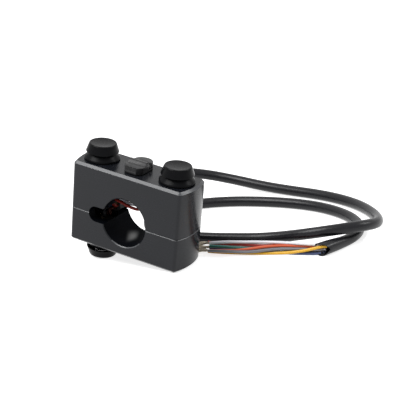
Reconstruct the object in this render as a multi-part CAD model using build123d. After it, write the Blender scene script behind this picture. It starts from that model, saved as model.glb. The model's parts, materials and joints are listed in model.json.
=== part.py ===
from build123d import *
import os
from math import atan2, cos, degrees, pi, radians, sin, tan

# Handlebar switch cluster: a two-piece clamp for a 22 mm bar, with two push buttons
# and a slider on top, a third push button below, and one sleeved cable.
# Sizes are in millimetres. Every piece is drawn in the housing's own frame: X along the
# width, Y along the bar, Z up, with the origin at the middle of the bar bore.
# The cluster lies on a table on its lower button and its right bottom edge, so each
# finished piece is leant about the bar axis by the angle that this gives.

# Bar and clamp housing
bar_diameter = 22.2
bar_clearance = 0.05
front_width = 54.5
end_bulge = 2.1
depth = 20.8
upper_height = 22.1
lower_height = 15.8
corner_radius = 1.6
edge_chamfer = 1.2
split_chamfer = 0.3
mouth_chamfer = 0.4
button_wall = 3.5
overrun = 1.0

# Wire slot, wire trough and clamp screws of the housing
slot_height = 7.2
slot_past_bore = 7.0
trough_width = 8.4
trough_roof = 6.6
screw_end_inset = 2.65
screw_side_inset = 3.4
screw_radius = 1.5
screw_head_radius = 2.5
screw_head_height = 2.5
screw_head_sink = 2.8
screw_grip = 7.5
screw_tip_room = 0.8
socket_flats = 2.5
socket_depth = 1.5
screw_clearance = 0.15
thread_clearance = 0.04
head_clearance = 0.15

# Push buttons
button_end_inset = 7.85
lower_button_inset = 10.65
button_rise = 7.5
button_travel = 1.2
cap_face_radius = 6.2
cap_skirt_radius = 7.4
cap_skirt_gap = 3.7
cap_rim_width = 0.35
cap_dish_depth = 0.35
cap_wall = 0.6
cap_roof = 1.1
stem_radius = 2.1
stem_depth = 6.6
stem_clearance = 0.05
collar_radius = 6.0
collar_rise = 3.2
bead_radius = 7.95
bead_rise = 1.2
bead_chamfer = 0.4
gasket_radius = 7.3
gasket_thickness = 0.4
barrel_radius = 5.0
barrel_length = 10.0
barrel_clearance = 0.05
well_radius = 6.1
nut_radius = 5.8
nut_thickness = 2.2
nut_slot_width = 1.6
nut_slot_depth = 0.9
nut_slot_count = 4
spring_radius = 3.7
spring_wall = 0.6
spring_seat_rise = 1.0
spring_clearance = 0.3
contact_radius = 3.2
contact_thickness = 0.6
contact_stop_gap = 0.3
chamber_radius = 3.8
base_thickness = 1.3
base_clearance = 0.03
contact_end_gap = 0.1
tab_spacing = 3.8
tab_width = 2.0
tab_thickness = 0.5
tab_reach = 2.8

# Slider switch
slide_travel = 2.0
knob_length = 14.2
knob_width = 9.4
knob_front_width = 5.6
knob_shoulder = 2.7
knob_gap = 0.3
knob_height = 3.1
ridge_height = 1.1
ridge_width = 2.1
ridge_foot = 0.9
ridge_offset = -0.4
ridge_teeth = 7
tooth_radius = 0.4
scallop_count = 3
scallop_radius = 0.75
scallop_depth = 0.3
side_notch_radius = 1.0
side_notch_offset = 1.8
knob_stem_size = 3.4
knob_stem_wall = 0.5
knob_stem_depth = 2.7
stem_slot_clearance = 0.2
post_clearance = 0.05
pocket_width = 7.2
pocket_length = 18.0
frame_width = 6.6
frame_length = 17.4
frame_thickness = 0.6
frame_screw_spacing = 14.6
frame_screw_radius = 0.95
frame_screw_head_radius = 1.5
frame_screw_head_height = 0.9
frame_screw_grip = 2.4
case_width = 6.4
case_length = 11.2
case_height = 4.7
case_wall = 0.9
carriage_length = 5.0
carriage_height = 2.0
carriage_clearance = 0.2
slide_tab_spacing = 3.3
slide_tab_width = 1.0
slide_tab_thickness = 0.5
slide_tab_reach = 1.3

# Cable
sleeve_diameter = 5.0
sleeve_sides = 8
lead_diameter = 1.3
lead_ring_radius = 1.57
lead_sides = 6
corner_share = 0.45
grommet_lip = 0.8
grommet_lip_width = 1.0
grommet_clearance = 0.05
grommet_bar_gap = 0.3
sleeve_start = 4.4
lead_straight = 1.2
exit_run = 17.6
bare_length = 6.0
bare_diameter = 0.8
tab_lead_grip = 1.1
lower_lead_drop = 1.3
slide_lead_grip = 0.3

# Worked-out places that several pieces share
bore_radius = bar_diameter / 2 + bar_clearance
slot_reach = bore_radius + slot_past_bore
slot_x = slot_height / 2 - slot_reach
button_spacing = front_width - 2 * button_end_inset
lower_button_x = lower_button_inset - front_width / 2
screw_spacing_x = front_width - 2 * screw_end_inset
screw_spacing_y = depth - 2 * screw_side_inset
cap_top_radius = cap_face_radius - cap_rim_width
upper_wall_z = upper_height - button_wall
lean_reach = front_width / 2 + end_bulge - edge_chamfer - lower_button_x - cap_top_radius
lean = degrees(atan2(button_rise, lean_reach))
lean_turn = radians(lean)
table_level = -(lower_height + button_rise) * cos(lean_turn) - (lower_button_x + cap_top_radius) * sin(lean_turn)
sleeve_radius = sleeve_diameter / 2
lead_radius = lead_diameter / 2
trough_height = upper_height - trough_roof
grommet_depth = depth / 2 - sleeve_start
exit_x = slot_x * cos(lean_turn)
exit_height = -slot_x * sin(lean_turn) - table_level

# The cable's route: X, Y and height above the table, from the exit behind the housing,
# round the wide turn at the right and the hidden one at the left, to the cut end.
sleeve_route = [
    (exit_x, sleeve_start, exit_height),
    (exit_x, sleeve_start + exit_run, exit_height),
    (-22.5, 38, 21.8),
    (-33.5, 52.5, 19),
    (-39.5, 68.5, 15.6),
    (-37.5, 84.5, 11.8),
    (-23.5, 96, 8),
    (-7.5, 100, 4.9),
    (8.5, 99.8, 3.1),
    (24.5, 98.8, 2.55),
    (40.5, 97.4, 2.55),
    (55.5, 93.5, 2.55),
    (69, 86, 3),
    (81.3, 73.8, 4),
    (88.5, 60.5, 5.9),
    (86, 47.8, 8.6),
    (77, 39.4, 8.7),
    (65.5, 35.5, 7),
    (53.5, 36, 4.2),
    (42, 34.5, 2.55),
    (31, 31, 2.55),
    (18.5, 27.5, 2.55),
    (5, 25.5, 2.55),
    (-8.5, 27, 2.55),
    (-19, 34.5, 2.55),
    (-23.5, 46.5, 2.55),
    (-20, 59, 2.55),
    (-10, 69, 2.55),
    (3, 76, 2.55),
    (17.5, 80, 2.55),
    (32, 82, 2.55),
    (46.5, 81.5, 2.55),
    (60, 77.5, 2.55),
    (71.5, 70.5, 2.55),
    (79.3, 60.8, 2.55),
    (81.6, 50.3, 2.55),
    (79.4, 39.9, 2.55),
    (75.5, 30.1, 2.55),
]

# The middle line of the bundle of loose leads, from the sleeve's cut end
tail_route = [
    (75.5, 30.1, 2.55),
    (74.2, 26.9, 2.55),
    (71.4, 25.9, 2.55),
    (66.4, 27.4, 2.55),
    (58.8, 27.9, 2.6),
    (49.8, 25.4, 2.6),
    (38.2, 21.9, 2.5),
    (26, 18.6, 2.4),
]

# The leads round the bundle, one in the middle, and where each ends inside the housing
lead_colours = ["white", "yellow", "red", "orange", "grey", "black", "green", "blue"]
upper_lead_z = upper_height - barrel_length - tab_reach + tab_lead_grip
lower_lead_z = barrel_length + tab_reach - lower_height - lower_lead_drop
slide_lead_z = upper_wall_z - frame_thickness - case_height - slide_tab_reach + slide_lead_grip
right_tab_x = button_spacing / 2 - tab_thickness / 2
left_tab_x = tab_thickness / 2 - button_spacing / 2
lower_tab_x = lower_button_x + tab_thickness / 2
tab_y = tab_spacing / 2
lead_ends = {
    "white": (right_tab_x, tab_y, upper_lead_z),
    "yellow": (-slide_tab_thickness / 2, 0, slide_lead_z),
    "red": (right_tab_x, -tab_y, upper_lead_z),
    "orange": (lower_tab_x, tab_y, lower_lead_z),
    "grey": (lower_tab_x, -tab_y, lower_lead_z),
    "black": (left_tab_x, -tab_y, upper_lead_z),
    "green": (left_tab_x, tab_y, upper_lead_z),
    "blue": (-slide_tab_thickness / 2, -slide_tab_spacing, slide_lead_z),
}

# Each lead's route inside: points from the sleeve's end in the slot, then points at the
# slot's side and the terminal's height, then points from the terminal itself.
inner_routes = {
    "white": ([(-0.25, -1.8, 2.4), (0.75, -2.5, 6)], [(2.15, 1.9, 0), (5.55, 1.9, 1.9)],
              [(-17.15, -0.1, 1.9), (-7.15, 0, 1.9), (-3.95, 0, 0)]),
    "yellow": ([(1.05, -2.8, 1.4), (1.55, -4.2, 4.4)], [(2.15, 0, -2.9), (5.35, 0.1, 0)], []),
    "red": ([(1.25, -4.6, -0.2), (1.45, -6.2, 2.6)], [(1.95, -1.9, -1.4), (5.15, -1.9, 1.9)],
            [(-17.15, 0.1, 1.9), (-7.15, 0, 1.9), (-3.95, 0, 0)]),
    "orange": ([(0.65, -1.6, -1.7)], [(1.05, 1.9, 1.1)], [(1.85, 0, 0)]),
    "grey": ([(-0.45, -3.8, -1.6)], [(0.65, -1.5, 1.6)], [(1.85, 0, 0)]),
    "black": ([(-2.15, -4.4, 0.1), (-1.95, -6.1, 3)], [(-1.65, -1.9, -2)], [(1.85, 0, 0)]),
    "green": ([(-1.85, -1.8, 1.6), (-1.55, -2.5, 5)], [(-1.75, 1.9, -1.4)], [(1.75, 0, 0)]),
    "blue": ([(-0.35, -5.6, 0.4), (0.15, -7.6, 3.4)], [(1.55, -3.3, -3.1), (4.75, -3.3, 0)], []),
}


# Shapes that several pieces are made with
def rod(radius, low, high):
    return Pos(0, 0, low) * Cylinder(radius, high - low, align=(Align.CENTER, Align.CENTER, Align.MIN))


def bar(width, length, low, high):
    return Pos(0, 0, low) * Box(width, length, high - low, align=(Align.CENTER, Align.CENTER, Align.MIN))


def turned(points):
    return revolve(make_face(Polyline(*points, close=True)), axis=Axis.Z)


def corner_radii(points):
    runs = [Vector(*b) - Vector(*a) for a, b in zip(points, points[1:])]
    radii = []
    for before, after in zip(runs, runs[1:]):
        turn = radians(before.get_angle(after))
        radii.append(corner_share * min(before.length, after.length) / tan(turn / 2))
    return radii


def tube(name, points, radius, sides):
    radii = corner_radii(points)
    path = FilletPolyline(*points, radius=radii)
    start = Plane(origin=path @ 0, z_dir=path % 0)
    section = RegularPolygon(radius, sides)
    solid = sweep(start * section, path=path)
    print(name, "length", round(path.length, 1), "smallest radius", round(min(radii), 1), "volume share",
          round(solid.volume / (section.area * path.length), 4))
    return solid


def above_table(points):
    return [(x, y, table_level + height) for x, y, height in points]


# Housing
def plan_face():
    half = front_width / 2
    side = depth / 2
    front = Line((-half, -side), (half, -side))
    right = ThreePointArc((half, -side), (half + end_bulge, 0), (half, side))
    back = Line((half, side), (-half, side))
    left = ThreePointArc((-half, side), (-half - end_bulge, 0), (-half, -side))
    plan = make_face([front, right, back, left])
    return fillet(plan.vertices(), corner_radius)


def housing_block(height):
    block = extrude(plan_face(), amount=height)
    block = chamfer(block.faces().sort_by(Axis.Z)[-1].outer_wire().edges(), edge_chamfer)
    return chamfer(block.faces().sort_by(Axis.Z)[0].outer_wire().edges(), split_chamfer)


def bore_cutter():
    half = depth / 2
    flare = bore_radius + mouth_chamfer + overrun
    profile = [(0, -half - overrun), (flare, -half - overrun), (bore_radius, -half + mouth_chamfer),
               (bore_radius, half - mouth_chamfer), (flare, half + overrun), (0, half + overrun)]
    return Rot(90, 0, 0) * turned([(radius, 0, level) for radius, level in profile])


def slot_cutter():
    length = depth + 2 * overrun
    inner = Pos(slot_x / 2, 0, 0) * Box(-slot_x, length, slot_height)
    end = Pos(slot_x, 0, 0) * Rot(90, 0, 0) * Cylinder(slot_height / 2, length)
    return inner + end


def button_well(height):
    hole = rod(barrel_radius + barrel_clearance, 0, height + overrun)
    return hole + rod(well_radius, -overrun, height - button_wall)


def screw_places():
    return [(x, y) for x in (-screw_spacing_x / 2, screw_spacing_x / 2)
            for y in (-screw_spacing_y / 2, screw_spacing_y / 2)]


def slider_pocket():
    pocket = bar(pocket_width, pocket_length, -overrun, upper_wall_z)
    slot_length = knob_stem_size + 2 * (slide_travel + stem_slot_clearance)
    slot = bar(knob_stem_size + 2 * stem_slot_clearance, slot_length, 0, upper_height + overrun)
    screws = [Pos(0, y, 0) * rod(frame_screw_radius, 0, upper_wall_z + frame_screw_grip)
              for y in (-frame_screw_spacing / 2, frame_screw_spacing / 2)]
    return [pocket, slot] + screws


def upper_housing():
    body = housing_block(upper_height)
    cuts = [bore_cutter(), slot_cutter(), bar(button_spacing, trough_width, -overrun, trough_height)]
    cuts += [Pos(x, 0, 0) * button_well(upper_height) for x in (-button_spacing / 2, button_spacing / 2)]
    cuts += slider_pocket()
    cuts += [Pos(x, y, 0) * rod(screw_radius + thread_clearance, -overrun, screw_grip + screw_tip_room)
             for x, y in screw_places()]
    for cut in cuts:
        body -= cut
    return body


def lower_housing():
    body = Rot(180, 0, 0) * housing_block(lower_height)
    cuts = [bore_cutter(), slot_cutter()]
    cuts += [Pos(lower_button_x, 0, 0) * Rot(180, 0, 0) * button_well(lower_height)]
    for x, y in screw_places():
        cuts.append(Pos(x, y, 0) * rod(screw_radius + screw_clearance, -lower_height - overrun, overrun))
        sink = rod(screw_head_radius + head_clearance, -lower_height - overrun, screw_head_sink - lower_height)
        cuts.append(Pos(x, y, 0) * sink)
    for cut in cuts:
        body -= cut
    return body


def clamp_screws():
    seat = screw_head_sink - lower_height
    screw = rod(screw_head_radius, seat - screw_head_height, seat) + rod(screw_radius, seat, screw_grip)
    socket = extrude(RegularPolygon(socket_flats / 2, 6, major_radius=False), amount=socket_depth)
    screw -= Pos(0, 0, seat - screw_head_height) * socket
    return [Pos(x, y, 0) * screw for x, y in screw_places()]


# Push button pieces, drawn with the housing's outer face at zero and the button upwards
def button_cap():
    roof = button_rise - cap_roof
    skirt = [(cap_skirt_radius, 0, cap_skirt_gap), (cap_face_radius, 0, button_rise - cap_rim_width),
             (cap_top_radius, 0, button_rise), (0, 0, button_rise - cap_dish_depth), (0, 0, -stem_depth),
             (stem_radius, 0, -stem_depth), (stem_radius, 0, roof), (cap_face_radius - cap_wall, 0, roof),
             (cap_skirt_radius - cap_wall, 0, cap_skirt_gap)]
    return turned(skirt)


def button_contact():
    return rod(contact_radius, -stem_depth - contact_thickness, -stem_depth)


def button_body():
    chamber_top = contact_stop_gap - stem_depth
    bore = stem_radius + stem_clearance
    spring_bore = spring_radius + spring_clearance
    profile = [(bore, 0, chamber_top), (bore, 0, spring_seat_rise), (spring_bore, 0, spring_seat_rise),
               (spring_bore, 0, collar_rise), (collar_radius, 0, collar_rise),
               (bead_radius - bead_chamfer, 0, bead_rise), (bead_radius, 0, bead_rise - bead_chamfer),
               (bead_radius, 0, gasket_thickness), (barrel_radius, 0, gasket_thickness),
               (barrel_radius, 0, -barrel_length), (chamber_radius, 0, -barrel_length),
               (chamber_radius, 0, chamber_top)]
    return turned(profile)


def button_gasket():
    return rod(gasket_radius, 0, gasket_thickness) - rod(barrel_radius + barrel_clearance, -overrun, overrun)


def button_nut():
    top = -button_wall
    nut = rod(nut_radius, top - nut_thickness, top)
    nut -= rod(barrel_radius + thread_clearance, top - nut_thickness - overrun, top + overrun)
    for turn in range(nut_slot_count):
        notch = Box(2 * nut_slot_depth, nut_slot_width, 2 * nut_slot_depth)
        nut -= Rot(0, 0, 360 / nut_slot_count * turn) * Pos(nut_radius, 0, top - nut_thickness) * notch
    return nut


def button_spring():
    high = button_rise - cap_roof
    return rod(spring_radius, spring_seat_rise, high) - rod(spring_radius - spring_wall, 0, high + overrun)


def button_tab():
    top = -stem_depth - contact_thickness - button_travel - contact_end_gap
    return bar(tab_thickness, tab_width, -barrel_length - tab_reach, top)


def button_base():
    base = rod(chamber_radius - base_clearance, -barrel_length, base_thickness - barrel_length)
    for y in (-tab_spacing / 2, tab_spacing / 2):
        base -= Pos(0, y, 0) * bar(tab_thickness + base_clearance, tab_width + base_clearance,
                                   -barrel_length - overrun, overrun)
    return base


def button_tabs():
    return [Pos(0, y, 0) * button_tab() for y in (-tab_spacing / 2, tab_spacing / 2)]


def button_pieces():
    return {"cap": [button_cap()], "contact": [button_contact()], "body": [button_body()],
            "gasket": [button_gasket()], "lock_nut": [button_nut()], "spring": [button_spring()],
            "terminal_base": [button_base()], "terminals": button_tabs()}


# Slider switch
def knob_face():
    half = knob_width / 2
    front = -knob_length / 2
    back_y = knob_length / 2 - half
    sides = Polyline((-half, back_y), (-half, front + knob_shoulder), (-knob_front_width / 2, front),
                     (knob_front_width / 2, front), (half, front + knob_shoulder), (half, back_y))
    return make_face([sides, ThreePointArc((half, back_y), (0, knob_length / 2), (-half, back_y))])


def knob_ridge(top):
    width = ridge_width / 2
    outline = Polyline((0, -width - ridge_foot, 0), (0, width, 0), (0, width, ridge_height),
                       (0, -width, ridge_height), close=True)
    ridge = Pos(-knob_width / 2, ridge_offset, top) * extrude(make_face(outline), amount=knob_width, dir=(1, 0, 0))
    pitch = knob_width / ridge_teeth
    for tooth in range(ridge_teeth):
        x = pitch * (tooth + 1 / 2) - knob_width / 2
        notch = Rot(90, 0, 0) * Cylinder(tooth_radius, ridge_width)
        ridge -= Pos(x, ridge_offset + ridge_width / 2, top + ridge_height) * notch
    return ridge


def slider_knob():
    low = upper_height + knob_gap
    top = low + knob_height
    knob = Pos(0, 0, low) * extrude(knob_face(), amount=knob_height)
    for place in range(scallop_count):
        x = knob_front_width / scallop_count * (place + 1 / 2) - knob_front_width / 2
        y = -knob_length / 2 - scallop_radius + scallop_depth
        knob -= Pos(x, y, 0) * rod(scallop_radius, low + knob_height / 2, top + overrun)
    for x in (-knob_width / 2, knob_width / 2):
        knob -= Pos(x, side_notch_offset, 0) * rod(side_notch_radius, low + knob_height / 2, top + overrun)
    knob += knob_ridge(top)
    knob += bar(knob_stem_size, knob_stem_size, low - knob_stem_depth, low)
    inner = knob_stem_size - 2 * knob_stem_wall
    return knob - bar(inner, inner, low - knob_stem_depth - overrun, low + knob_height / 2)


def slide_actuator():
    post = knob_stem_size - 2 * knob_stem_wall - 2 * post_clearance
    floor = upper_wall_z - frame_thickness - case_wall - carriage_clearance
    carriage = bar(case_width - 2 * case_wall - 2 * carriage_clearance, carriage_length,
                   floor - carriage_height, floor)
    return carriage + bar(post, post, floor, upper_height + knob_gap + knob_height / 2 - post_clearance)


def actuator_window():
    size = knob_stem_size + 2 * stem_slot_clearance
    return bar(size, size + 2 * slide_travel, 0, upper_height)


def slide_case():
    top = upper_wall_z - frame_thickness
    case = bar(case_width, case_length, top - case_height, top)
    room = carriage_height + 2 * carriage_clearance
    case -= bar(case_width - 2 * case_wall, carriage_length + 2 * slide_travel + 2 * carriage_clearance,
                top - case_wall - room, top - case_wall)
    case -= bar(knob_stem_size, knob_stem_size + 2 * slide_travel, top - case_wall - carriage_clearance,
                top + overrun)
    for y in (-slide_tab_spacing, 0, slide_tab_spacing):
        case -= Pos(0, y, 0) * bar(slide_tab_thickness + base_clearance, slide_tab_width + base_clearance,
                                   top - case_height - overrun, top - case_wall - room + overrun / 2)
    return case


def slide_terminals():
    bottom = upper_wall_z - frame_thickness - case_height
    top = upper_wall_z - frame_thickness - case_wall - carriage_height - 2 * carriage_clearance
    tab = bar(slide_tab_thickness, slide_tab_width, bottom - slide_tab_reach, top)
    return [Pos(0, y, 0) * tab for y in (-slide_tab_spacing, 0, slide_tab_spacing)]


def slide_frame():
    low = upper_wall_z - frame_thickness
    frame = bar(frame_width, frame_length, low, upper_wall_z) - actuator_window()
    for y in (-frame_screw_spacing / 2, frame_screw_spacing / 2):
        frame -= Pos(0, y, 0) * rod(frame_screw_radius + thread_clearance, low - overrun, upper_height)
    return frame


def slide_screws():
    low = upper_wall_z - frame_thickness
    screw = rod(frame_screw_head_radius, low - frame_screw_head_height, low)
    screw += rod(frame_screw_radius - thread_clearance, low, upper_wall_z + frame_screw_grip - thread_clearance)
    return [Pos(0, y, 0) * screw for y in (-frame_screw_spacing / 2, frame_screw_spacing / 2)]


# Cable
def cable_grommet():
    radius = slot_height / 2 - grommet_clearance
    plug = Pos(0, depth / 2 - grommet_depth, 0) * Rot(-90, 0, 0) * rod(radius, 0, grommet_depth)
    lip = Pos(0, depth / 2, 0) * Rot(-90, 0, 0) * rod(radius + grommet_lip_width, 0, grommet_lip)
    hole = Pos(0, depth / 2 - grommet_depth, 0) * Rot(-90, 0, 0) * rod(sleeve_radius, -overrun, depth)
    bar_space = Rot(90, 0, 0) * Cylinder(bore_radius + grommet_bar_gap, 2 * depth)
    return Pos(slot_x, 0, 0) * (plug + lip - hole) - bar_space


def bundle_places():
    ring = len(lead_colours) - 1
    turns = [2 * pi * place / ring for place in range(ring)]
    return [(lead_ring_radius * sin(turn), lead_ring_radius * cos(turn)) for turn in turns] + [(0, 0)]


def inner_lead(colour, place):
    across, up = place
    from_sleeve, rise, from_end = inner_routes[colour]
    end_x, end_y, end_z = lead_ends[colour]
    points = [(slot_x + across, sleeve_start, up), (slot_x + across, sleeve_start - lead_straight, up)]
    points += [(slot_x + x, sleeve_start + y, z) for x, y, z in from_sleeve]
    points += [(slot_x + x, y, end_z + z) for x, y, z in rise]
    points += [(end_x + x, end_y + y, end_z + z) for x, y, z in from_end]
    return tube("inner " + colour, points + [lead_ends[colour]], lead_radius, lead_sides)


def beside(points, across):
    moved = []
    for index, (x, y, z) in enumerate(points):
        before = Vector(*points[max(index - 1, 0)])
        after = Vector(*points[min(index + 1, len(points) - 1)])
        come = (Vector(x, y, z) - before) if index else (after - Vector(x, y, z))
        go = (after - Vector(x, y, z)) if index < len(points) - 1 else come
        middle = come.normalized() + go.normalized()
        side = Vector(middle.Y, -middle.X, 0).normalized()
        stretch = 1 / cos(radians(come.get_angle(go)) / 2)
        moved.append((x + side.X * across * stretch, y + side.Y * across * stretch, z))
    return moved


def tail_points(place):
    across, up = place
    return [(x, y, z + up) for x, y, z in beside(above_table(tail_route), across)]


def bare_ends():
    ends = []
    for place in bundle_places():
        before, last = [Vector(*point) for point in tail_points(place)[-2:]]
        direction = (last - before).normalized()
        section = Plane(origin=last, z_dir=direction) * RegularPolygon(bare_diameter / 2, lead_sides)
        ends.append(extrude(section, amount=bare_length, dir=direction))
    return ends


# Every piece by its name, leant over as the cluster lies, and written to its own file
def leant(solids):
    return [Rot(0, lean, 0) * solid for solid in solids]


def all_pieces():
    pieces = {"upper_housing": [upper_housing()], "lower_housing": [lower_housing()],
              "clamp_screws": clamp_screws(), "slider_knob": [slider_knob()],
              "slide_actuator": [slide_actuator()], "slide_case": [slide_case()],
              "slide_terminals": slide_terminals(), "slide_frame": [slide_frame()],
              "slide_screws": slide_screws(), "cable_grommet": [cable_grommet()]}
    seats = {"left_button": Pos(-button_spacing / 2, 0, upper_height),
             "right_button": Pos(button_spacing / 2, 0, upper_height),
             "lower_button": Pos(lower_button_x, 0, -lower_height) * Rot(180, 0, 0)}
    for button, seat in seats.items():
        for piece, solids in button_pieces().items():
            pieces[button + "_" + piece] = [seat * solid for solid in solids]
    for colour, place in zip(lead_colours, bundle_places()):
        pieces["inner_lead_" + colour] = [inner_lead(colour, place)]
    pieces = {name: leant(solids) for name, solids in pieces.items()}
    pieces["cable_sleeve"] = [tube("sleeve", above_table(sleeve_route), sleeve_radius, sleeve_sides)]
    for colour, place in zip(lead_colours, bundle_places()):
        pieces["lead_" + colour] = [tube("lead " + colour, tail_points(place), lead_radius, lead_sides)]
    pieces["bare_ends"] = bare_ends()
    return pieces


os.makedirs("parts", exist_ok=True)
print("lean", round(lean, 3), "table level", round(table_level, 3), "exit height", round(exit_height, 3))
for name, solids in all_pieces().items():
    shape = solids[0] if len(solids) == 1 else Compound(children=solids)
    export_step(shape, os.path.join("parts", name + ".step"))
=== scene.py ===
import json
import math
import random

import bpy
from mathutils import Matrix, Vector


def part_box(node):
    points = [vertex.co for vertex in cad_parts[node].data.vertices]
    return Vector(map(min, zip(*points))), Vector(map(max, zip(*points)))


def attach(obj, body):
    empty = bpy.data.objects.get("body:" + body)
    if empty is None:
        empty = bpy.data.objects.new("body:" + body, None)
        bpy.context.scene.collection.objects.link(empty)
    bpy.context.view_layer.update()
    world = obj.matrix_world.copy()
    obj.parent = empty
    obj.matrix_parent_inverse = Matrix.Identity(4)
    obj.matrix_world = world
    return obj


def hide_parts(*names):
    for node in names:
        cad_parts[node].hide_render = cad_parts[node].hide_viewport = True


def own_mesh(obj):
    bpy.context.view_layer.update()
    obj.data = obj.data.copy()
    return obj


bl_info = {
    "name": "Handlebar switch cluster",
    "version": (1, 0, 0),
    "blender": (4, 5, 0),
    "location": "View3D > Sidebar > Switch cluster",
    "description": "Models a clamp-on handlebar switch cluster with its cable",
    "category": "Add Mesh",
}

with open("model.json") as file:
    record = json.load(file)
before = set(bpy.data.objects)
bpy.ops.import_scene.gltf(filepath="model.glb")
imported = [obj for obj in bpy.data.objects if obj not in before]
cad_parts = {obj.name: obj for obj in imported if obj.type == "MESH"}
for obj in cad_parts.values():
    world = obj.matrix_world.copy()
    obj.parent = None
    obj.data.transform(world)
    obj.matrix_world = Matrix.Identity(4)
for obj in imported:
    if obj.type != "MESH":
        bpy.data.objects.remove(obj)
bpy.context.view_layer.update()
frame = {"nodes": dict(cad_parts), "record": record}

MM = 0.001
# How near a place has to be to count as level with another, in metres
LEVEL = 1e-5

# The cable's route in millimetres: X, Y and height above the table, from the exit behind
# the housing, round the wide turn at the right and the hidden one at the left, to its end.
SLEEVE_ROUTE = [
    (-14.29, 4.4, 23.6), (-14.29, 22, 23.6), (-22.5, 38, 21.8), (-33.5, 52.5, 19), (-39.5, 68.5, 15.6),
    (-37.5, 84.5, 11.8), (-23.5, 96, 8), (-7.5, 100, 4.9), (8.5, 99.8, 3.1), (24.5, 98.8, 2.55),
    (40.5, 97.4, 2.55), (55.5, 93.5, 2.55), (69, 86, 3), (81.3, 73.8, 4), (88.5, 60.5, 5.9),
    (86, 47.8, 8.6), (77, 39.4, 8.7), (65.5, 35.5, 7), (53.5, 36, 4.2), (42, 34.5, 2.55),
    (31, 31, 2.55), (18.5, 27.5, 2.55), (5, 25.5, 2.55), (-8.5, 27, 2.55), (-19, 34.5, 2.55),
    (-23.5, 46.5, 2.55), (-20, 59, 2.55), (-10, 69, 2.55), (3, 76, 2.55), (17.5, 80, 2.55),
    (32, 82, 2.55), (46.5, 81.5, 2.55), (60, 77.5, 2.55), (71.5, 70.5, 2.55), (79.3, 60.8, 2.55),
    (81.6, 50.3, 2.55), (79.4, 39.9, 2.55), (75.5, 30.1, 2.55),
]

# The loose leads, from inside the sleeve's mouth to their stripped tips
LEAD_ROUTES = {
    "white": [(76.2, 31.8, 4.1), (72.5, 30.6, 4.4), (65, 28.9, 4.8), (58.3, 28.1, 4.7), (48.3, 25.5, 4.8),
              (38.9, 22.8, 4.7), (30.7, 20.6, 4.6), (24.6, 19.3, 3.9)],
    "red": [(75.6, 33.2, 3), (71.4, 32.6, 3), (63.9, 30.8, 3.2), (55.6, 27.8, 3.3), (48.2, 25.4, 3.1),
            (42.4, 24.2, 3.1), (33.3, 22.2, 3.2), (23.3, 20.3, 3.6)],
    "orange": [(76.3, 31.9, 2.9), (72.2, 31.1, 3.2), (67.8, 30.1, 3.3), (62.2, 28.6, 3.4), (56.3, 26.4, 3.6),
               (51.8, 24.1, 3.6), (46.9, 21.4, 3.3), (41.4, 19, 2.6), (34.5, 17.5, 1.9), (26.6, 15.7, 1.8)],
    "yellow": [(77, 31, 4.1), (75.1, 29.6, 4.2), (72.1, 28.5, 3.4), (68.4, 27.3, 2.5), (64.7, 26.4, 1.8),
               (59.8, 24.9, 1.2), (53.5, 23.3, 0.9), (46.7, 21.3, 0.7), (38.5, 19, 0.8), (30.6, 17.5, 0.7),
               (25.1, 16.7, 0.8)],
    "grey": [(76.8, 30.6, 2.7), (72.7, 29.8, 2.4), (66.5, 28.4, 2.5), (61.6, 26.9, 2.6), (57, 25.1, 2.7),
             (52.4, 22.9, 2.6), (47.2, 20.1, 2.1), (41.1, 17.6, 2.1), (34, 15.9, 2.3), (26.7, 14.3, 2.2)],
    "green": [(75.3, 33.8, 1.6), (70.2, 32, 1.7), (63.2, 29.2, 2.1), (56.1, 26.6, 2.2), (50.2, 24.3, 2.3),
              (44.2, 22.1, 2.5), (38.2, 20, 2.9), (32.2, 18.9, 3.1), (25.6, 17.6, 3.1)],
    "blue": [(76.6, 30.9, 1.4), (73.5, 29.5, 0.8), (68.7, 28, 0.8), (63, 26.7, 0.7), (56.2, 26.3, 0.7),
             (48.2, 25.2, 0.7), (39.3, 22.9, 0.9), (31.7, 20.7, 1.2), (24.8, 18.7, 1.7)],
    "black": [(76.3, 31.7, 1.6), (72.2, 30.8, 1.2), (66.9, 30.2, 0.7), (60.8, 29.7, 0.7), (52, 28.7, 1.2),
              (43.5, 27.2, 1.7), (36.6, 25.2, 2.3), (29.9, 22.8, 2.4), (23.4, 21.2, 2.4)],
}

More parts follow.
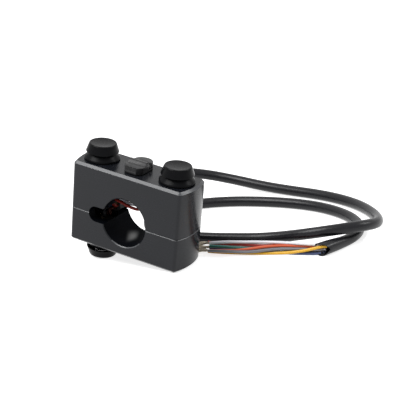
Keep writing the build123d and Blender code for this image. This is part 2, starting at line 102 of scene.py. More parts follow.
# The leads inside the housing, in its own frame: X, Y and Z in millimetres
INNER_ROUTES = {
    "white": [(-14.5, 4.4, 1.6), (-14.6, 3, 2.2), (-13.6, 1.6, 5), (-12.8, -0.6, 8.4), (-10.2, -2.2, 8.8),
              (-6.6, -4.2, 7.8), (-1.7, -4.4, 7), (0.9, -4.4, 7.2), (4, -4.2, 7.4), (7.5, -1.5, 9.5),
              (11, 1.2, 11.5), (15.2, 1.9, 10.9), (19, 1.9, 10.4)],
    "yellow": [(-13.3, 4.4, 1), (-13.3, 2.6, 1.2), (-13, 0.2, 4.4), (-12.4, 0, 9.4), (-9.2, 0.1, 12.3),
               (-0.3, 0, 12.3)],
    "red": [(-13, 4.4, -0.3), (-13, 2.6, -0.3), (-13.2, 0, 3), (-12.6, -2.6, 6.2), (-9.8, -3.6, 6.9),
            (-5.4, -5.3, 7.2), (-1.8, -6, 6.7), (1.9, -6, 6.2), (5, -5.5, 6.2), (8.5, -3.5, 9),
            (12, -2.6, 11), (14.8, -1.9, 11.2), (19, -1.9, 10.4)],
    "orange": [(-13.9, 4.4, -1.4), (-14.2, 3, -1.6), (-15.8, 2.6, -2.2), (-15.3, 2.1, -3.6),
               (-14.6, 1.9, -4.3), (-16.2, 1.9, -4.3)],
    "grey": [(-15.2, 4.4, -1.4), (-16.2, 2.6, -1.3), (-16.6, 0.4, -1.3), (-16.4, -1.6, -1.9),
             (-15, -1.9, -3.4), (-16.2, -1.9, -4.3)],
    "black": [(-16.1, 4.4, -0.3), (-16.6, 0.6, 0), (-16.5, -1.7, 3), (-16.2, -1.9, 8.4), (-17.3, -1.9, 10.4),
              (-19, -1.9, 10.4)],
    "green": [(-15.8, 4.4, 1), (-16.3, 2.8, 1.5), (-16.1, 1.9, 5), (-16.3, 1.9, 9), (-17.4, 1.9, 10.4),
              (-19, 1.9, 10.4)],
    "blue": [(-14.5, 4.4, 0), (-14.8, 0.4, 0.2), (-14.4, -3.2, 3.4), (-13, -3.3, 9.2), (-9.8, -3.3, 12.3),
             (-0.3, -3.3, 12.3)],
}


def length(name, description, default):
    return bpy.props.FloatProperty(name=name, description=description, default=default, unit="LENGTH")


def colour(name, description, default):
    return bpy.props.FloatVectorProperty(
        name=name, description=description, default=default, size=3, subtype="COLOR", min=0, max=1)


class ClusterSizes(bpy.types.PropertyGroup):
    front_width: length("Front width", "Width of the housing's flat front", 0.0545)
    end_bulge: length("End bulge", "How far each rounded end stands out", 0.0021)
    depth: length("Depth", "Housing depth along the bar", 0.0208)
    upper_height: length("Upper height", "Height of the upper half above the bar's middle", 0.0221)
    lower_height: length("Lower height", "Height of the lower half below the bar's middle", 0.0158)
    edge_chamfer: length("Edge chamfer", "Bright chamfer round the top and bottom", 0.00105)
    corner_round: length("Corner rounding", "Rounding of the four upright corners", 0.0016)
    mouth_chamfer: length("Mouth chamfer", "Chamfer where the bore meets each face", 0.0004)
    button_wall: length("Button wall", "Wall that a button's barrel goes through", 0.0035)
    barrel_hole: length("Barrel hole", "Radius of the hole for a button's barrel", 0.00505)
    well_radius: length("Well radius", "Radius of the well behind a button", 0.0061)
    trough_width: length("Trough width", "Width of the trough that the leads lie in", 0.0084)
    trough_top: length("Trough top", "Height of the trough's roof", 0.0155)
    screw_across: length("Screw spacing across", "Distance between the clamp screws in the width", 0.0492)
    screw_along: length("Screw spacing along", "Distance between the clamp screws along the bar", 0.014)
    split_gap: length("Split chamfer", "Chamfer of each half where the two meet", 0.0003)
    bore_radius: length("Bore radius", "Radius of the hole for the bar", 0.01115)
    slot_height: length("Slot height", "Height of the slot for the leads", 0.0072)
    slot_reach: length("Slot reach", "Reach of the slot from the bar's middle", 0.01815)
    button_spacing: length("Button spacing", "Distance between the two upper buttons", 0.0388)
    lower_button: length("Lower button place", "Place of the lower button along the width", -0.0166)
    button_travel: length("Button travel", "How far a button is pressed in", 0.0012)
    spring_seat: length("Spring seat", "Height of the spring's lower end above the button's seat", 0.001)
    spring_top: length("Spring top", "Height of the spring's upper end under the cap", 0.0064)
    spring_radius: length("Spring radius", "Radius of the return spring, to the middle of its wire", 0.00342)
    spring_wire: length("Spring wire", "Diameter of the spring's wire", 0.00056)
    knob_width: length("Knob width", "Width of the slider knob", 0.0094)
    knob_length: length("Knob length", "Length of the slider knob along the bar", 0.0142)
    knob_height: length("Knob height", "Height of the knob's two lobes", 0.0031)
    sleeve_diameter: length("Sleeve diameter", "Outside diameter of the cable's sleeve", 0.005)
    sleeve_wall: length("Sleeve wall", "Wall of the sleeve at its cut end", 0.0004)
    lead_diameter: length("Lead diameter", "Outside diameter of one lead", 0.00135)
    strand_diameter: length("Strand diameter", "Diameter of one bare strand", 0.00026)
    lean: bpy.props.FloatProperty(
        name="Lean", description="Angle at which the cluster lies on its lower button",
        default=math.radians(10.913), subtype="ANGLE")


class ClusterColours(bpy.types.PropertyGroup):
    housing: colour("Housing", "Black anodised finish", (0.005, 0.006, 0.009))
    # The chamfer colour is a painted highlight: a paler colour on the top chamfers for the light they catch
    chamfer: colour("Chamfer", "Pale chamfers round the top of the housing", (0.085, 0.088, 0.095))
    # The bore colour is painted shade: darker than the housing's, for the shade in the bore, slot and ducts
    bore: colour("Bore", "Inner walls of the housing", (0.0025, 0.003, 0.0045))
    button: colour("Button", "Moulded button caps", (0.0032, 0.0034, 0.0042))
    bead: colour("Bead", "Button bodies and their beads", (0.0035, 0.0037, 0.0045))
    knob: colour("Knob", "Slider knob", (0.0065, 0.0066, 0.0075))
    rubber: colour("Rubber", "Gaskets and grommet", (0.014, 0.014, 0.014))
    sleeve: colour("Sleeve", "Soft cable sleeve", (0.009, 0.0092, 0.0115))
    steel: colour("Steel", "Plated nuts, springs and switch box", (0.55, 0.55, 0.56))
    dark_steel: colour("Dark steel", "Blackened clamp screws", (0.05, 0.05, 0.052))
    brass: colour("Brass", "Contacts and terminals", (0.36, 0.29, 0.19))
    phenolic: colour("Terminal board", "Dark board that holds the terminals", (0.006, 0.0045, 0.004))
    tin: colour("Tinned strands", "Bare twisted strands", (0.34, 0.3, 0.24))
    dust: colour("Dust", "Settled dust on the upward faces", (0.42, 0.4, 0.37))
    white: colour("White lead", "Insulation of the white lead", (0.9, 0.9, 0.96))
    yellow: colour("Yellow lead", "Insulation of the yellow lead", (0.86, 0.47, 0.02))
    red: colour("Red lead", "Insulation of the red lead", (0.5, 0.035, 0.02))
    orange: colour("Orange lead", "Insulation of the orange lead", (0.72, 0.11, 0.035))
    grey: colour("Grey lead", "Insulation of the grey lead", (0.2, 0.2, 0.22))
    black: colour("Black lead", "Insulation of the black lead", (0.016, 0.014, 0.014))
    green: colour("Green lead", "Insulation of the green lead", (0.012, 0.16, 0.13))
    blue: colour("Blue lead", "Insulation of the blue lead", (0.04, 0.07, 0.19))


# Selecting, adding and shaping pieces
def clear():
    if bpy.context.object and bpy.context.object.mode != "OBJECT":
        bpy.ops.object.mode_set(mode="OBJECT")
    bpy.ops.object.select_all(action="DESELECT")


def pick(piece):
    clear()
    piece.select_set(True)
    bpy.context.view_layer.objects.active = piece


def edit_all(piece):
    pick(piece)
    bpy.ops.object.mode_set(mode="EDIT")
    bpy.ops.mesh.select_all(action="SELECT")


def new_object(name, data):
    piece = bpy.data.objects.new(name, data)
    bpy.context.scene.collection.objects.link(piece)
    return piece


def new_mesh(name, points, edges, faces=()):
    mesh = bpy.data.meshes.new(name)
    mesh.from_pydata(points, edges, faces)
    return new_object(name, mesh)


def added(name):
    piece = bpy.context.object
    piece.name = name
    piece.data.name = name
    bpy.ops.object.transform_apply(location=True, rotation=True, scale=True)
    return piece


def add_box(name, low, high):
    clear()
    low = Vector(low)
    high = Vector(high)
    bpy.ops.mesh.primitive_cube_add(size=1, location=(low + high) / 2, scale=high - low)
    return added(name)


def add_post(name, half_width, half_length, low, high):
    """Adds a box round the Z axis, from one height to another."""
    return add_box(name, (-half_width, -half_length, low), (half_width, half_length, high))


def add_rod(name, radius, start, end, sides):
    clear()
    start = Vector(start)
    end = Vector(end)
    turn = (end - start).to_track_quat("Z", "Y").to_euler()
    bpy.ops.mesh.primitive_cylinder_add(
        vertices=sides, radius=radius, depth=(end - start).length, location=(start + end) / 2, rotation=turn)
    return added(name)


def add_pin(name, radius, x, y, low, high, sides):
    """Adds an upright rod, from one height to another."""
    return add_rod(name, radius, (x, y, low), (x, y, high), sides)


def shape_with(piece, kind, **values):
    pick(piece)
    change = piece.modifiers.new(kind.title(), kind)
    for key, value in values.items():
        setattr(change, key, value)
    bpy.ops.object.modifier_apply(modifier=change.name)


def combine(piece, other, operation):
    shape_with(piece, "BOOLEAN", object=other, operation=operation, solver="MANIFOLD")
    bpy.data.objects.remove(other)


def cut(piece, *cutters):
    for cutter in cutters:
        combine(piece, cutter, "DIFFERENCE")


def round_edges(piece, width, angle):
    shape_with(piece, "BEVEL", width=width, segments=2, limit_method="ANGLE",
               angle_limit=math.radians(angle), use_clamp_overlap=True)


def tidy(piece, smooth=35):
    """Merges doubled points, turns the faces outwards and shades smooth below an angle in degrees."""
    edit_all(piece)
    bpy.ops.mesh.remove_doubles(threshold=LEVEL / 10)
    bpy.ops.mesh.normals_make_consistent(inside=False)
    bpy.ops.object.mode_set(mode="OBJECT")
    bpy.ops.object.shade_smooth_by_angle(angle=math.radians(smooth))


def lathe(name, profile, steps, ring=False):
    """Spins a profile of (radius, height) points round Z; a ring profile is joined end to start."""
    last = len(profile) - 1
    edges = [(point, point + 1) for point in range(last)] + [(last, 0)] * ring
    piece = new_mesh(name, [(radius, 0, height) for radius, height in profile], edges)
    edit_all(piece)
    bpy.ops.mesh.spin(steps=steps, angle=math.tau, center=(0, 0, 0), axis=(0, 0, 1))
    tidy(piece)
    return piece


def pull_up(name, outline, height):
    """Fills an outline of (X, Y) points at zero height and pulls it up."""
    count = len(outline)
    edges = [(point, (point + 1) % count) for point in range(count)]
    piece = new_mesh(name, [(x, y, 0) for x, y in outline], edges)
    edit_all(piece)
    bpy.ops.mesh.edge_face_add()
    bpy.ops.mesh.extrude_region_move(TRANSFORM_OT_translate={"value": (0, 0, height)})
    bpy.ops.object.mode_set(mode="OBJECT")
    tidy(piece)
    return piece


def move(piece, place=(0, 0, 0), turn=(0, 0, 0)):
    pick(piece)
    piece.location = place
    piece.rotation_euler = turn
    bpy.ops.object.transform_apply(location=True, rotation=True, scale=True)


def lean_over(piece):
    move(piece, turn=(0, bpy.context.scene.cluster_sizes.lean, 0))


def choose_faces(piece, test):
    """Selects the faces whose points all pass a test, and stays in edit mode."""
    pick(piece)
    bpy.ops.object.mode_set(mode="EDIT")
    bpy.ops.mesh.select_mode(type="FACE")
    bpy.ops.mesh.select_all(action="DESELECT")
    bpy.ops.object.mode_set(mode="OBJECT")
    mesh = piece.data
    for face in mesh.polygons:
        face.select = all(test(mesh.vertices[index].co) for index in face.vertices)
    bpy.ops.object.mode_set(mode="EDIT")


def bevel_chosen(width, segments=1):
    bpy.ops.mesh.bevel(offset=width, segments=segments, affect="EDGES")
    bpy.ops.object.mode_set(mode="OBJECT")


def finished(piece, body, material):
    """Gives a piece its material and the body that it moves with."""
    piece.data.materials.clear()
    piece.data.materials.append(bpy.data.materials[material])
    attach(piece, body)


# Adding nodes
def feed(tree, node, inputs):
    """Gives each named input of a node a link from another node's output, or a plain value."""
    for key, source in inputs.items():
        if isinstance(source, bpy.types.NodeSocket):
            tree.links.new(source, node.inputs[key])
        else:
            node.inputs[key].default_value = source


def add_node(tree, kind, inputs=None, **settings):
    node = tree.nodes.new(kind)
    for key, value in settings.items():
        setattr(node, key, value)
    feed(tree, node, inputs or {})
    return node


def add_math(tree, operation, *terms):
    return add_node(tree, "ShaderNodeMath", dict(enumerate(terms)), operation=operation).outputs[0]


def add_noise(tree, place, scale, detail):
    inputs = {"Vector": place, "Scale": scale, "Detail": detail}
    return add_node(tree, "ShaderNodeTexNoise", inputs).outputs["Fac"]


def add_range(tree, value, low, high, start=0, end=1, shape="LINEAR"):
    """Turns a value between low and high into one between start and end."""
    inputs = {"Value": value, "From Min": low, "From Max": high, "To Min": start, "To Max": end}
    return add_node(tree, "ShaderNodeMapRange", inputs, interpolation_type=shape).outputs[0]


def mix_colours(tree, share, first, second):
    return add_node(tree, "ShaderNodeMix", {0: share, 6: first, 7: second}, data_type="RGBA").outputs[2]


def object_place(tree):
    return tree.nodes.new("ShaderNodeTexCoord").outputs["Object"]


def split_vector(tree, vector):
    return add_node(tree, "ShaderNodeSeparateXYZ", {0: vector}).outputs


# Shared effects, each a node group with named inputs and outputs
VALUE = "NodeSocketFloat"
COLOUR = "NodeSocketColor"
VECTOR = "NodeSocketVector"
MID_GREY = (0.5, 0.5, 0.5, 1)


def new_group(name, inputs, outputs):
    """Starts a node group, and gives it with what its inputs hold."""
    group = bpy.data.node_groups.new(name, "ShaderNodeTree")
    for label, (kind, default) in inputs.items():
        socket = group.interface.new_socket(label, in_out="INPUT", socket_type=kind)
        socket.default_value = default
    for label, kind in outputs.items():
        group.interface.new_socket(label, in_out="OUTPUT", socket_type=kind)
    return group, group.nodes.new("NodeGroupInput").outputs


def give_out(group, results):
    feed(group, group.nodes.new("NodeGroupOutput"), results)


def grain_group():
    """Moulded or cast grain that varies a colour and a roughness and raises the surface a little."""
    group, given = new_group(
        "Moulded grain",
        {"Colour": (COLOUR, MID_GREY), "Spread": (VALUE, 0.2), "Roughness": (VALUE, 0.5),
         "Roughness spread": (VALUE, 0.08), "Grain size": (VALUE, 0.0003), "Bump": (VALUE, 0.1)},
        {"Colour": COLOUR, "Roughness": VALUE, "Normal": VECTOR})
    place = object_place(group)
    fine = add_noise(group, place, scale=add_math(group, "DIVIDE", 1, given["Grain size"]), detail=4)
    broad = add_noise(group, place, scale=160, detail=5)
    centred = add_math(group, "SUBTRACT", add_math(group, "ADD", fine, broad), 1)
    shade = add_math(group, "MULTIPLY_ADD", centred, given["Spread"], 1)
    tinted = add_node(group, "ShaderNodeVectorMath", {0: given["Colour"], "Scale": shade}, operation="SCALE")
    rough = add_math(group, "MULTIPLY_ADD", centred, given["Roughness spread"], given["Roughness"])
    bump = add_node(group, "ShaderNodeBump", {"Strength": given["Bump"], "Distance": 0.0001, "Height": fine})
    give_out(group, {"Colour": tinted.outputs[0], "Roughness": rough, "Normal": bump.outputs["Normal"]})


def scratch_group():
    """Fine scratches along X, turned about Y to follow a piece that leans."""
    group, given = new_group(
        "Fine scratches",
        {"Length ratio": (VALUE, 40), "Density": (VALUE, 1500), "Turn": (VALUE, 0)},
        {"Mask": VALUE})
    turned = add_node(
        group, "ShaderNodeVectorRotate", {"Vector": object_place(group), "Angle": given["Turn"]},
        rotation_type="Y_AXIS")
    squeeze = add_math(group, "DIVIDE", 1, given["Length ratio"])
    stretch = add_node(group, "ShaderNodeCombineXYZ", {"X": squeeze, "Y": 1, "Z": 1})
    lines = add_node(group, "ShaderNodeVectorMath", {0: turned.outputs[0], 1: stretch.outputs[0]},
                     operation="MULTIPLY")
    streaks = add_noise(group, lines.outputs[0], scale=given["Density"], detail=2)
    give_out(group, {"Mask": add_range(group, streaks, low=0.5, high=0.72)})


def dust_group(dust):
    """Specks of dust on the faces that look up."""
    group, given = new_group(
        "Settled dust",
        {"Colour": (COLOUR, MID_GREY), "Amount": (VALUE, 0.05)},
        {"Colour": COLOUR})
    shape = group.nodes.new("ShaderNodeNewGeometry")
    facing = add_range(group, split_vector(group, shape.outputs["Normal"])["Z"], low=0.2, high=1)
    specks = add_noise(group, object_place(group), scale=2600, detail=3)
    specks = add_range(group, specks, low=0.55, high=0.75)
    amount = add_math(group, "MULTIPLY", add_math(group, "MULTIPLY", facing, specks), given["Amount"])
    give_out(group, {"Colour": mix_colours(group, amount, given["Colour"], (*dust, 1))})


def use_group(tree, group, inputs):
    """Places a shared effect in a material with the material's own values, and gives its outputs."""
    return add_node(tree, "ShaderNodeGroup", inputs, node_tree=bpy.data.node_groups[group]).outputs


def use_grain(tree, base, spread, roughness, variation, size, bump):
    return use_group(tree, "Moulded grain", {
        "Colour": (*base, 1), "Spread": spread, "Roughness": roughness, "Roughness spread": variation,
        "Grain size": size, "Bump": bump})


# Materials of this object's own finishes
def material_base(name, metallic=0, shine=0.5):
    material = bpy.data.materials.new(name)
    material.use_nodes = True
    tree = material.node_tree
    surface = tree.nodes["Principled BSDF"]
    feed(tree, surface, {"Metallic": metallic, "Specular IOR Level": shine})
    return tree, surface


def grained(name, base, roughness, spread=0.25, size=0.0003, bump=0.12, dust=0, variation=0.1, shine=0.5):
    """A moulded finish with its grain and, where asked, settled dust."""
    tree, surface = material_base(name, shine=shine)
    grain = use_grain(tree, base, spread, roughness, variation, size, bump)
    paint = grain["Colour"]
    if dust:
        paint = use_group(tree, "Settled dust", {"Colour": paint, "Amount": dust})["Colour"]
    feed(tree, surface, {"Base Color": paint, "Roughness": grain["Roughness"], "Normal": grain["Normal"]})
    return tree, surface


# Where the painted highlight goes: the upward part of the normal on the top chamfers, and how far from it a
# face still counts as one
PAINTED_HIGHLIGHT_SLOPE = 0.69
PAINTED_HIGHLIGHT_SPREAD = 0.15


def anodised(name, base, chamfer, lean):
    """Black anodising with fine scratches and a little dust, and a painted highlight: a paler colour on the
    top chamfers.
    """
    tree, surface = material_base(name, shine=0.25)
    facing = tree.nodes.new("ShaderNodeTexCoord").outputs["Normal"]
    # Mask of the painted highlight: faces whose normal slopes up like the top chamfers'
    chamfer_highlight_mask = add_math(tree, "COMPARE", split_vector(tree, facing)["Z"], PAINTED_HIGHLIGHT_SLOPE, PAINTED_HIGHLIGHT_SPREAD)
    scratches = use_group(
        tree, "Fine scratches", {"Length ratio": 60, "Density": 2600, "Turn": -lean})["Mask"]
    grain = use_grain(tree, base, spread=0.3, roughness=0.24, variation=0.06, size=0.00022, bump=0.02)
    dusty = use_group(tree, "Settled dust", {"Colour": grain["Colour"], "Amount": 0.08})["Colour"]
    scored = add_node(tree, "ShaderNodeBump", {
        "Strength": 0.04, "Distance": 0.00002, "Height": scratches, "Normal": grain["Normal"]})
    feed(tree, surface, {
        "Base Color": mix_colours(tree, chamfer_highlight_mask, dusty, (*chamfer, 1)),
        "Roughness": add_math(tree, "MULTIPLY_ADD", scratches, 0.05, grain["Roughness"]),
        "Normal": scored.outputs["Normal"]})


# The polished patch low in the bore, in metres: the heights where it begins and where it is full,
# and the two slanting bands it lies in, each with its slope, middle and half width
PATCH_HEIGHTS = (-0.005, -0.007)
PATCH_BANDS = ((2, -0.0068, 0.004), (-2, 0.0085, 0.0065))
# The shares of a band's half width inside which it is full and outside which it is gone
BAND_CORE = 0.1
BAND_EDGE = 1.65


def bore_wall_with_painted_shade(name, base):
    """The dull wall of the bore, darker than the housing as painted shade, with the polished patch low down
    inside it.
    """
    tree, surface = grained(name, base, roughness=0.45, bump=0.1, shine=0.012)
    place = split_vector(tree, object_place(tree))
    polish = add_range(tree, place["Z"], *PATCH_HEIGHTS, shape="SMOOTHSTEP")
    for slope, middle, half in PATCH_BANDS:
        along = add_math(tree, "MULTIPLY_ADD", place["X"], slope, place["Y"])
        away = add_math(tree, "ABSOLUTE", add_math(tree, "SUBTRACT", along, middle))
        fall = add_range(tree, away, BAND_CORE * half, BAND_EDGE * half, start=1, end=0, shape="SMOOTHSTEP")
        polish = add_math(tree, "MULTIPLY", polish, fall)
    feed(tree, surface, {"Coat Weight": polish, "Coat Roughness": 0.3, "Coat IOR": 1.75})


def brushed(name, base, roughness):
    """Bare or plated metal with fine scratches in its roughness."""
    tree, surface = material_base(name, metallic=1)
    scratches = use_group(tree, "Fine scratches", {"Length ratio": 25, "Density": 3000})["Mask"]
    grain = use_grain(tree, base, spread=0.25, roughness=roughness, variation=0.12, size=0.0002, bump=0.04)
    feed(tree, surface, {
        "Base Color": grain["Colour"],
        "Roughness": add_math(tree, "MULTIPLY_ADD", scratches, 0.15, grain["Roughness"]),
        "Normal": grain["Normal"]})


# Painted shade for the leads inside the dark housing: how much of its colour each named lead keeps there,
# and how much the other leads keep
PAINTED_SHADE_SHARES = {"white": 0.8, "red": 0.3, "blue": 0.3}
DEEP_PAINTED_SHADE = 0.04


def make_materials():
    colours = bpy.context.scene.cluster_colours
    lean = bpy.context.scene.cluster_sizes.lean
    grain_group()
    scratch_group()
    dust_group(colours.dust)
    anodised("Black anodised housing", colours.housing, colours.chamfer, lean)
    bore_wall_with_painted_shade("Bore wall", colours.bore)
    grained("Button cap", colours.button, roughness=0.22, bump=0.04, dust=0.1, shine=0.08)
    grained("Button body", colours.bead, roughness=0.33, bump=0.1, shine=0.06)
    grained("Slider knob", colours.knob, roughness=0.3, size=0.0004, bump=0.15, dust=0.08, shine=0.38)
    grained("Gasket rubber", colours.rubber, roughness=0.62, bump=0.2, shine=0.2)
    grained("Cable sleeve", colours.sleeve, roughness=0.3, variation=0.12, spread=0.3, size=0.0007,
            bump=0.3, dust=0.08, shine=0.24)
    grained("Terminal board", colours.phenolic, roughness=0.6, bump=0.15, shine=0.1)
    brushed("Plated steel", colours.steel, roughness=0.3)
    brushed("Blackened screws", colours.dark_steel, roughness=0.36)
    brushed("Brass strip", colours.brass, roughness=0.28)
    brushed("Tinned strands", colours.tin, roughness=0.38)
    for lead in LEAD_ROUTES:
        insulation = getattr(colours, lead)
        # Each lead also gets a darker copy of its material, painted shade for its run inside the housing
        shade = PAINTED_SHADE_SHARES.get(lead, DEEP_PAINTED_SHADE)
        painted_shade_colour = [shade * part for part in insulation]
        grained(lead.title() + " lead", insulation, roughness=0.38, spread=0.14, size=0.0005, bump=0.1)
        grained("Housed " + lead + " lead", painted_shade_colour, roughness=0.5, spread=0.14, size=0.0005, bump=0.1,
                shine=0.15)


# Curves that follow a route
def new_curve(name, thickness=0, roundness=4):
    curve = bpy.data.curves.new(name, "CURVE")
    curve.dimensions = "3D"
    curve.bevel_depth = thickness / 2
    curve.bevel_resolution = roundness
    curve.use_fill_caps = True
    return curve


def add_spline(curve, kind, points):
    spline = curve.splines.new(kind)
    spline.points.add(len(points) - 1)
    for spot, point in zip(spline.points, points):
        spot.co = (*point, 1)
    return spline


def smooth_route(name, points):
    curve = new_curve(name)
    curve.resolution_u = 16
    spline = add_spline(curve, "NURBS", points)
    spline.order_u = 3
    spline.use_endpoint_u = True
    return new_object(name, curve)


def wire_piece(name, curve, smooth):
    """Makes a piece of a round wire's curve, as a mesh."""
    piece = new_object(name, curve)
    pick(piece)
    bpy.ops.object.convert(target="MESH")
    tidy(piece, smooth)
    return piece


def read_line(route):
    bpy.context.view_layer.update()
    mesh = bpy.data.meshes.new_from_object(route.evaluated_get(bpy.context.evaluated_depsgraph_get()))
    line = [spot.co.copy() for spot in mesh.vertices]
    bpy.data.meshes.remove(mesh)
    return line


def table_height():
    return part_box("lower_button_cap")[0].z


def on_table(points):
    low = table_height()
    return [Vector((x * MM, y * MM, low + height * MM)) for x, y, height in points]


def in_housing(points):
    turn = Matrix.Rotation(bpy.context.scene.cluster_sizes.lean, 3, "Y")
    return [turn @ Vector(point) * MM for point in points]


def in_metres(points):
    return [tuple(value * MM for value in point) for point in points]


def rings_along(line):
    """Gives each point of a line with its direction and the level and upright directions across it."""
    rings = []
    for index, spot in enumerate(line):
        ahead = (line[min(index + 1, len(line) - 1)] - line[max(index - 1, 0)]).normalized()
        across = ahead.cross(Vector((0, 0, 1))).normalized()
        rings.append((spot, ahead, across, across.cross(ahead)))
    return rings


def tube_mesh(name, rings, sides):
    """Joins rings of points into a skin, closed at both ends."""
    faces = []
    for index in range(len(rings) - 1):
        for step in range(sides):
            here = index * sides + step
            beside = index * sides + (step + 1) % sides
            faces.append((here, beside, beside + sides, here + sides))
    faces.append(tuple(reversed(range(sides))))
    faces.append(tuple(range((len(rings) - 1) * sides, len(rings) * sides)))
    piece = new_mesh(name, [point for ring in rings for point in ring], [], faces)
    tidy(piece, smooth=60)
    return piece


class ClusterOperator:
    bl_options = {"REGISTER", "UNDO"}


# Housing, with the sizes in millimetres that aren't among the cluster's sizes: the window's floor, the
# slider's pocket and slot as half widths and half lengths, and the clamp screws' holes
WINDOW_FLOOR = 5.6
POCKET_HALVES = (3.6, 9)
STEM_SLOT_HALVES = (1.9, 3.9)
THREAD_RADIUS = 1.54
THREAD_TOP = 8.3
SHANK_RADIUS = 1.65
HEAD_RADIUS = 2.65
HEAD_SEAT = -13
UNDER_HOUSING = -17


def end_outline(sizes):
    """Gives the right end of the plan: a rounded corner, the bulged end and the other corner."""
    corner_steps = 8
    end_steps = 24
    side = sizes.depth / 2
    small = sizes.corner_round
    large = (side ** 2 + sizes.end_bulge ** 2) / (2 * sizes.end_bulge)
    middle = sizes.front_width / 2 + sizes.end_bulge - large
    across = math.sqrt((large - small) ** 2 - (side - small) ** 2)
    meet = math.atan2(side - small, across)
    points = []
    for step in range(corner_steps):
        turn = -math.pi / 2 + (math.pi / 2 - meet) * step / corner_steps
        points.append((middle + across + small * math.cos(turn), small - side + small * math.sin(turn)))
    for step in range(end_steps + 1):
        turn = meet * (2 * step / end_steps - 1)
        points.append((middle + large * math.cos(turn), large * math.sin(turn)))
    return points + [(x, -y) for x, y in reversed(points[:corner_steps])]


def housing_block(name, height, sizes):
    right = end_outline(sizes)
    piece = pull_up(name, right + [(-x, -y) for x, y in right], height)
    choose_faces(piece, lambda spot: spot.z > height - LEVEL)
    bevel_chosen(sizes.edge_chamfer)
    choose_faces(piece, lambda spot: spot.z < LEVEL)
    bevel_chosen(sizes.split_gap)
    return piece


def bore_cutter(sizes):
    """A rod along the bar that widens where it leaves each face."""
    narrow = sizes.bore_radius
    wide = narrow + sizes.mouth_chamfer + MM
    mouth = sizes.depth / 2 - sizes.mouth_chamfer
    end = sizes.depth / 2 + MM
    profile = [(0, end), (wide, end), (narrow, mouth), (narrow, -mouth), (wide, -end), (0, -end)]
    cutter = lathe("bore_cutter", profile, steps=160)
    move(cutter, turn=(math.pi / 2, 0, 0))
    return cutter


def slot_cutter(sizes):
    half = sizes.slot_height / 2
    end = half - sizes.slot_reach
    back = sizes.depth / 2 + MM
    cutter = add_rod("slot_cutter", half, (end, -back, 0), (end, back, 0), sides=64)
    combine(cutter, add_box("slot_box", (end, -back, -half), (0, back, half)), "UNION")
    return cutter


def button_hole(x, height, sizes):
    return [add_pin("barrel_hole", sizes.barrel_hole, x, 0, 0, height + MM, sides=72),
            add_pin("well", sizes.well_radius, x, 0, -MM, height - sizes.button_wall, sides=72)]


def lead_ducts(sizes):
    """The duct up from the slot, the window from it into the bore and the trough beyond."""
    side = sizes.trough_width / 2
    end = sizes.button_spacing / 2
    inner = sizes.bore_radius + MM
    return [add_box("duct", (-end, -side, -MM), (-inner, side, sizes.trough_top)),
            add_box("window", (-inner - MM, -side, WINDOW_FLOOR * MM), (MM, side, sizes.trough_top)),
            add_box("trough", (0, -side, -MM), (end, side, sizes.trough_top))]


def slider_pocket(sizes):
    """The pocket for the slide switch and the slot above it for the knob's stem."""
    wall = sizes.upper_height - sizes.button_wall
    pocket = [half * MM for half in POCKET_HALVES]
    stem_slot = [half * MM for half in STEM_SLOT_HALVES]
    return [add_post("pocket", *pocket, -MM, wall),
            add_post("stem_slot", *stem_slot, 0, sizes.upper_height + MM)]


def screw_spots(sizes):
    return [(x, y) for x in (-sizes.screw_across / 2, sizes.screw_across / 2)
            for y in (-sizes.screw_along / 2, sizes.screw_along / 2)]


def inner_wall(spot, sizes):
    """Tells whether a point lies on the bore's wall, in the slot or in the ducts behind them."""
    reach = sizes.slot_reach / 2
    in_slot = abs(spot.z) < sizes.slot_height / 2 + LEVEL and abs(spot.x + reach) < reach + LEVEL
    in_bore = math.hypot(spot.x, spot.z) < sizes.bore_radius + LEVEL
    inside = (abs(spot.x) < sizes.front_width / 2 - MM
              and MM - sizes.lower_height < spot.z < sizes.upper_height - MM)
    in_duct = inside and abs(spot.z) > LEVEL and abs(spot.y) < sizes.trough_width / 2 + LEVEL
    return in_bore or in_slot or in_duct


class CLUSTER_OT_housing(ClusterOperator, bpy.types.Operator):
    """Models the two clamp halves with their bore, slot, ducts, wells and screw holes"""
    bl_idname = "cluster.housing"
    bl_label = "Clamp housing"

    def execute(self, context):
        sizes = context.scene.cluster_sizes
        upper = housing_block("upper_clamp", sizes.upper_height, sizes)
        lower = housing_block("lower_clamp", sizes.lower_height, sizes)
        move(lower, turn=(math.pi, 0, 0))
        cut(upper, bore_cutter(sizes), slot_cutter(sizes), *lead_ducts(sizes), *slider_pocket(sizes))
        for x in (-sizes.button_spacing / 2, sizes.button_spacing / 2):
            cut(upper, *button_hole(x, sizes.upper_height, sizes))
        cut(lower, bore_cutter(sizes), slot_cutter(sizes))
        for piece in button_hole(sizes.lower_button, sizes.lower_height, sizes):
            move(piece, turn=(math.pi, 0, 0))
            cut(lower, piece)
        for x, y in screw_spots(sizes):
            cut(upper, add_pin("thread", THREAD_RADIUS * MM, x, y, -MM, THREAD_TOP * MM, sides=40))
            cut(lower, add_pin("shank_hole", SHANK_RADIUS * MM, x, y, UNDER_HOUSING * MM, MM, sides=40),
                add_pin("sink", HEAD_RADIUS * MM, x, y, UNDER_HOUSING * MM, HEAD_SEAT * MM, sides=56))
        for piece, node in ((upper, "upper_housing"), (lower, "lower_housing")):
            finished(piece, "housing", "Black anodised housing")
            # The bore, slot and ducts take the darker bore material, painted shade
            piece.data.materials.append(bpy.data.materials["Bore wall"])
            choose_faces(piece, lambda spot: inner_wall(spot, sizes))
            piece.active_material_index = 1
            bpy.ops.object.material_slot_assign()
            bpy.ops.object.mode_set(mode="OBJECT")
            lean_over(piece)
            tidy(piece, smooth=24)
            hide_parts(node)
        return {"FINISHED"}


